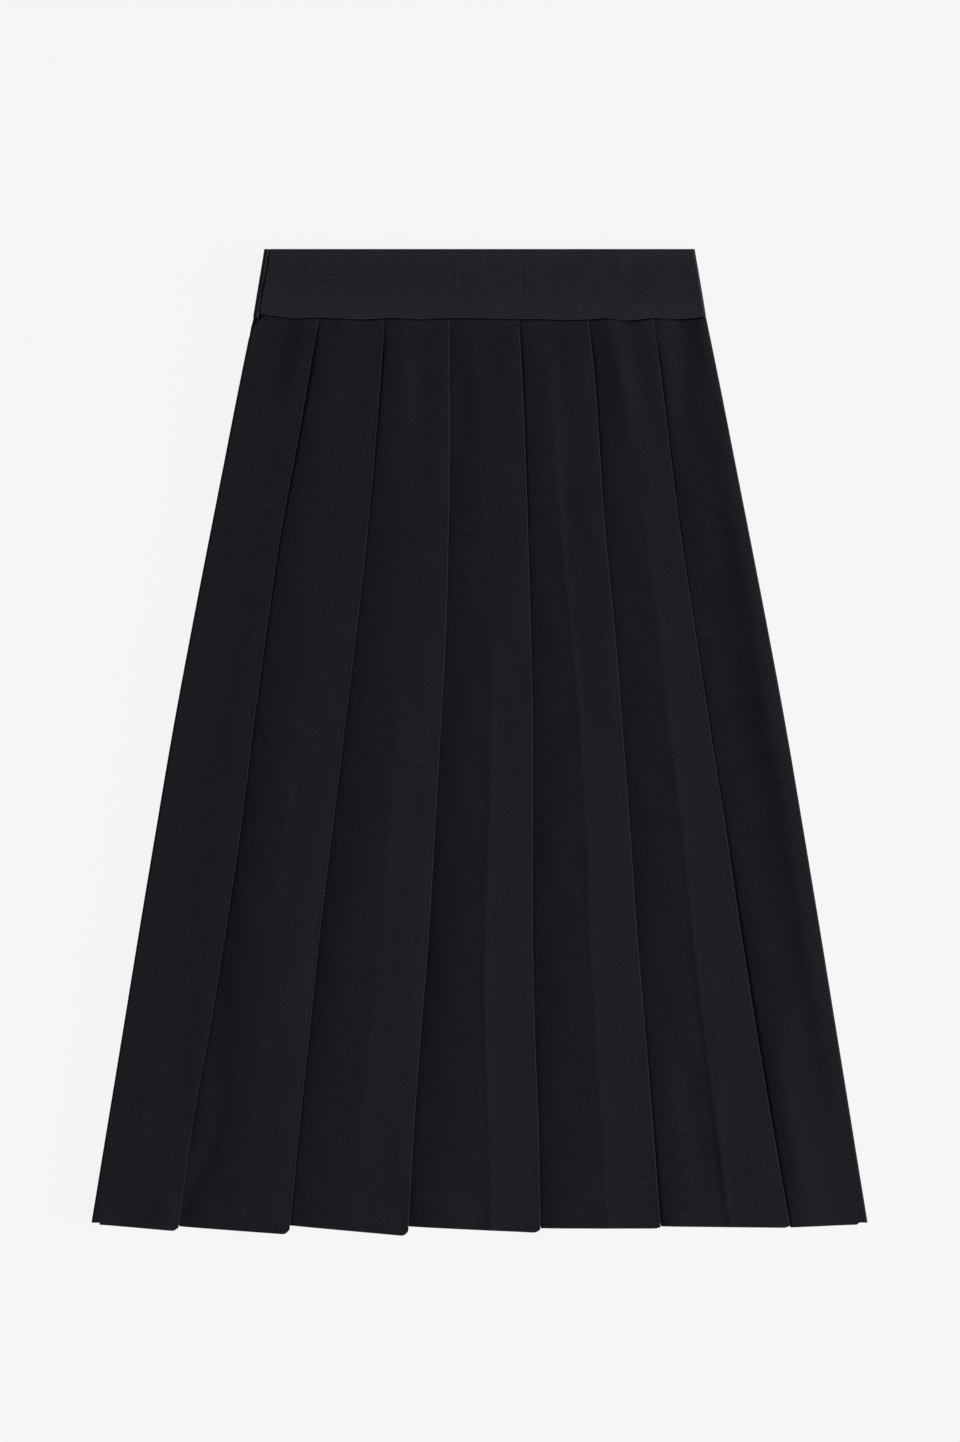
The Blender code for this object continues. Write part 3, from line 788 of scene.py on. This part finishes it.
def thread_pieces(name, x, y, z, sewing, material):
    """Topstitches as one mesh: a small capsule for each place, long along the row, whose rings are
    hexagons that narrow at both ends by the square root of one less t to the fourth."""
    t = np.array([-1.0, -0.8, -0.35, 0.35, 0.8, 1.0])
    sides = 6
    angle = np.arange(sides) / sides * 2 * np.pi
    ring = np.sqrt(np.clip(1 - t ** 4, 0.02, 1.0))[:, None] * sewing.thread / 2
    points = np.stack([
        x[:, None, None] + np.broadcast_to(t[:, None] * sewing.stitch_length / 2, (len(t), sides)),
        y[:, None, None] + ring * np.cos(angle),
        z[:, None, None] + ring * np.sin(angle),
    ], axis=-1)
    i, j = np.meshgrid(np.arange(len(t) - 1), np.arange(sides), indexing="ij")
    after = (j + 1) % sides
    quads = np.stack([i * sides + j, (i + 1) * sides + j, (i + 1) * sides + after, i * sides + after], -1)
    first = np.arange(len(x)) * len(t) * sides
    faces = (quads.reshape(-1, 4) + first[:, None, None]).reshape(-1, 4).tolist()
    for end, order in ((0, 1), (len(t) - 1, -1)):
        faces += (np.arange(sides)[::order] + end * sides + first[:, None]).tolist()
    return new_piece(name, points, faces, material)


# ---- materials


def linear(hex_colour):
    """An sRGB hex colour as linear red, green and blue, with an alpha of one."""
    value = np.array([int(hex_colour[i:i + 2], 16) for i in (0, 2, 4)]) / 255
    value = np.where(value <= 0.04045, value / 12.92, ((value + 0.055) / 1.055) ** 2.4)
    return (*value.tolist(), 1.0)


def add(tree, kind, settings=None, **inputs):
    """Adds a node. settings are its properties, and inputs are numbers or sockets by name, where an
    underscore stands for a space. A key such as in_0 names an input by its place."""
    node = tree.nodes.new(kind)
    for key, value in (settings or {}).items():
        setattr(node, key, value)
    for key, value in inputs.items():
        socket = node.inputs[int(key[3:])] if key.startswith("in_") else node.inputs[key.replace("_", " ")]
        if isinstance(value, bpy.types.NodeSocket):
            tree.links.new(value, socket)
        else:
            socket.default_value = value
    return node


def new_material(name):
    """A material, its node tree and its Principled shader."""
    material = bpy.data.materials.new(name)
    material.use_nodes = True
    return material, material.node_tree, material.node_tree.nodes["Principled BSDF"]


def woven_wool(name, dark, light, finish, nap):
    """Worsted suiting: fine twisted wool yarns in a close weave, pressed. It gives the eye a matt
    near-black with a faint grain, a soft bloom where it turns away, and a few pale stray fibres.
    Real yarns are 0.3 to 0.4 mm apart, too fine to show, so they are drawn at the weave spacing."""
    material, tree, shader = new_material(name)
    grain = add(tree, "ShaderNodeUVMap", {"uv_map": "grain"}).outputs[0]
    yarns = add(tree, "ShaderNodeMapping",
                Vector=grain, Scale=(1 / finish.weave, 1 / finish.weave, 1.0)).outputs[0]
    fibres = add(tree, "ShaderNodeTexNoise", Vector=yarns, Scale=1.0, Detail=2.0, Roughness=0.7).outputs[0]
    along = add(tree, "ShaderNodeMapping", Vector=yarns, Scale=(0.02, 0.9, 1.0)).outputs[0]
    slubs = add(tree, "ShaderNodeTexNoise", Vector=along, Scale=1.0, Detail=2.0).outputs[0]
    cloud = add(tree, "ShaderNodeTexNoise", Vector=grain, Scale=28.0, Detail=3.0).outputs[0]
    flecks = add(tree, "ShaderNodeTexNoise", Vector=yarns, Scale=1.3, Detail=0.0).outputs[0]

    scaled = {"operation": "MULTIPLY_ADD"}
    clamped = {"operation": "MULTIPLY_ADD", "use_clamp": True}
    tone = add(tree, "ShaderNodeMath", scaled, in_0=fibres, in_1=3.8, in_2=-1.57).outputs[0]
    tone = add(tree, "ShaderNodeMath", scaled, in_0=slubs, in_1=0.1, in_2=tone).outputs[0]
    tone = add(tree, "ShaderNodeMath", clamped, in_0=cloud, in_1=0.24, in_2=tone).outputs[0]
    lint = add(tree, "ShaderNodeMath", clamped, in_0=flecks, in_1=9.0, in_2=-6.9).outputs[0]
    colour = add(tree, "ShaderNodeMix", {"data_type": "RGBA"},
                 Factor=tone, A=linear(dark), B=linear(light)).outputs[2]
    colour = add(tree, "ShaderNodeMix", {"data_type": "RGBA"},
                 Factor=lint, A=colour, B=linear(finish.stray)).outputs[2]
    tree.links.new(colour, shader.inputs["Base Color"])

    bump = add(tree, "ShaderNodeBump", Strength=nap, Distance=0.0004, Height=fibres)
    tree.links.new(bump.outputs[0], shader.inputs["Normal"])
    shader.inputs["Roughness"].default_value = 0.88
    shader.inputs["Specular IOR Level"].default_value = 0.12
    shader.inputs["Sheen Weight"].default_value = 0.12
    shader.inputs["Sheen Roughness"].default_value = 0.45
    shader.inputs["Sheen Tint"].default_value = linear("A9A8B4")
    return material


def spun_thread(name, colour):
    """Core-spun polyester sewing thread: three plies with a slight lustre, a little smoother than the
    cloth. The plies' twist is drawn as a fine wave along the thread, with a painted highlight that makes the
    top of each wave half as bright again."""
    material, tree, shader = new_material(name)
    place = add(tree, "ShaderNodeTexCoord").outputs["Object"]
    ply = add(tree, "ShaderNodeTexWave", {"wave_type": "BANDS", "bands_direction": "DIAGONAL"},
              Vector=place, Scale=900.0, Distortion=0.5).outputs["Fac"]
    bump = add(tree, "ShaderNodeBump", Strength=0.4, Distance=0.0001, Height=ply)
    tree.links.new(bump.outputs[0], shader.inputs["Normal"])
    dark = linear(colour)
    # painted highlight: the crests of the ply wave get this colour, half as bright again as the thread's own
    light = (*(1.5 * part for part in dark[:3]), 1.0)
    plies = add(tree, "ShaderNodeMix", {"data_type": "RGBA"}, Factor=ply, A=dark, B=light)
    tree.links.new(plies.outputs[2], shader.inputs["Base Color"])
    shader.inputs["Roughness"].default_value = 0.6
    shader.inputs["Specular IOR Level"].default_value = 0.25
    return material


def painted_floor(name, colour):
    """A matt studio floor that is lit so evenly that it is nearly one tone: most of its light is its
    own, and the rest lets a soft shadow show where something lies on it."""
    material, _, shader = new_material(name)
    shader.inputs["Base Color"].default_value = (0.05, 0.05, 0.05, 1.0)
    shader.inputs["Roughness"].default_value = 1.0
    shader.inputs["Specular IOR Level"].default_value = 0.0
    shader.inputs["Emission Color"].default_value = linear(colour)
    shader.inputs["Emission Strength"].default_value = 0.965
    return material


# ---- operators


def finish_piece(piece, node):
    """Says what the piece stands for: it rides on the skirt's one body and replaces a node."""
    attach(piece, "root")
    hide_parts(node)


class SKIRT_OT_panels(Operator):
    """Builds the front and back panels, pleated and hemmed"""

    bl_idname = "skirt.panels"
    bl_label = "Pleated panels"

    def execute(self, context):
        cut, finish = context.scene.skirt_cut, context.scene.skirt_finish
        wool = woven_wool("skirt_wool_suiting", finish.cloth_dark, finish.cloth_light, finish, nap=0.35)
        for name, node, face in (("front_panel_cloth", "front_panel", FRONT),
                                 ("back_panel_cloth", "back_panel", BACK)):
            piece = cloth_piece(name, *panel_surface(face, cut), cut.cloth, wool, flip=face == BACK)
            finish_piece(piece, node)
        return {"FINISHED"}


class SKIRT_OT_waistband(Operator):
    """Builds the waistband's front and back with their topstitching"""

    bl_idname = "skirt.waistband"
    bl_label = "Waistband"

    def execute(self, context):
        scene = context.scene
        cut, sewing, finish = scene.skirt_cut, scene.skirt_sewing, scene.skirt_finish
        wool = woven_wool("waistband_wool_suiting", finish.band_dark, finish.band_light, finish, nap=0.3)
        thread = spun_thread("sewing_thread", finish.thread_colour)
        _, z, drop, _, _ = panel_surface(FRONT, cut)
        cover = cover_height(z, drop, cut)
        for name, node, face in (("waistband_front_cloth", "waistband_front", FRONT),
                                 ("waistband_back_cloth", "waistband_back", BACK)):
            x, z, drop = band_surface(face, cover, cut)
            piece = cloth_piece(name, x, z, drop, x, drop, cut.band_cloth, wool)
            turned = piece.modifiers.new("Turned edges", "BEVEL")
            turned.limit_method = "ANGLE"
            turned.angle_limit = np.radians(60.0)
            turned.width = cut.band_cloth * BAND_ROUND
            turned.segments = 3
            finish_piece(piece, node)
            stitches = self.topstitching(node, face, cover, cut, sewing, thread)
        return {"FINISHED"}

    def topstitching(self, node, face, cover, cut, sewing, thread):
        """Both rows of stitches of one side of the waistband, sunk into the cloth: a third of each
        stands out at the front, and BACK_STITCH_OUT at the back."""
        count = int(2 * (HALF_WIDTHS[0] - ROW_ENDS) / sewing.stitch_pitch)
        x = np.tile((np.arange(count) - (count - 1) / 2) * sewing.stitch_pitch, 2)
        even = cut.band_depth - np.repeat([sewing.edge_row, sewing.upper_row], count)
        drop = even + band_sag(x, face)
        sunk = sewing.thread / 6 if face == FRONT else sewing.thread / 2 - BACK_STITCH_OUT
        z = band_height(x, even, face, cover, cut) + face * (cut.band_cloth / 2 - sunk)
        piece = thread_pieces(node + "_topstitching", x, cut.length / 2 - drop, z, sewing, thread)
        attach(piece, "root")
        return piece


class SKIRT_OT_stage(Operator):
    """Sets up the pale floor, the soft studio light and the camera straight above"""

    bl_idname = "skirt.stage"
    bl_label = "Studio stage"

    def execute(self, context):
        scene = context.scene
        stage = scene.skirt_stage
        bpy.ops.mesh.primitive_plane_add(size=FLOOR_SIDE, location=(0.0, 0.0, -FLOOR_BELOW))
        floor = context.object
        floor.name = "studio_floor"
        floor.data.materials.append(painted_floor("matt_floor", stage.floor_colour))

        world = bpy.data.worlds.new("white_surroundings")
        world.use_nodes = True
        tree = world.node_tree
        seen = add(tree, "ShaderNodeLightPath").outputs["Is Camera Ray"]
        strength = add(tree, "ShaderNodeMix", Factor=seen, A=stage.fill, B=1.0)
        background = tree.nodes["Background"]
        background.inputs["Color"].default_value = linear(stage.floor_colour)
        tree.links.new(strength.outputs[0], background.inputs["Strength"])
        scene.world = world

        self.softbox("key_softbox", stage)

        camera = bpy.data.cameras.new("camera_above")
        camera.sensor_width = 36.0
        camera.lens = camera.sensor_width * stage.camera_height / stage.frame_height
        camera.clip_end = 100.0
        holder = bpy.data.objects.new("camera_above", camera)
        holder.location = (*stage.aim, stage.camera_height)
        scene.collection.objects.link(holder)
        scene.camera = holder
        scene.view_settings.view_transform = "Standard"
        return {"FINISHED"}

    def softbox(self, name, stage):
        """A rectangular softbox that faces the middle of the skirt and isn't seen itself."""
        light = bpy.data.lights.new(name, "AREA")
        light.shape = "RECTANGLE"
        light.size, light.size_y = stage.key_size
        light.energy = stage.key_power
        holder = bpy.data.objects.new(name, light)
        holder.location = stage.key_place
        aim = -holder.location
        holder.rotation_euler = aim.to_track_quat("-Z", "Y").to_euler()
        holder.visible_camera = False
        bpy.context.scene.collection.objects.link(holder)


class SKIRT_PT_sidebar(Panel):
    """The skirt's sizes, colours and builders in the 3D view's sidebar"""

    bl_idname = "SKIRT_PT_sidebar"
    bl_label = "Pleated midi skirt"
    bl_space_type = "VIEW_3D"
    bl_region_type = "UI"
    bl_category = "Skirt"

    def draw(self, context):
        for name, group in GROUPS.items():
            box = self.layout.box()
            box.label(text=group.__doc__)
            for key in group.__annotations__:
                box.prop(getattr(context.scene, name), key)
        for operator in OPERATORS:
            self.layout.operator(operator.bl_idname)


GROUPS = {
    "skirt_cut": SkirtCut,
    "skirt_sewing": SkirtSewing,
    "skirt_finish": SkirtFinish,
    "skirt_stage": SkirtStage,
}
OPERATORS = (SKIRT_OT_panels, SKIRT_OT_waistband, SKIRT_OT_stage)


def register():
    for name, group in GROUPS.items():
        bpy.utils.register_class(group)
        setattr(bpy.types.Scene, name, PointerProperty(type=group))
    for item in (*OPERATORS, SKIRT_PT_sidebar):
        bpy.utils.register_class(item)


def unregister():
    for item in (SKIRT_PT_sidebar, *reversed(OPERATORS)):
        bpy.utils.unregister_class(item)
    for name, group in GROUPS.items():
        delattr(bpy.types.Scene, name)
        bpy.utils.unregister_class(group)


def main():
    register()
    bpy.ops.skirt.panels()
    bpy.ops.skirt.waistband()
    bpy.ops.skirt.stage()


if __name__ == "__main__":
    main()
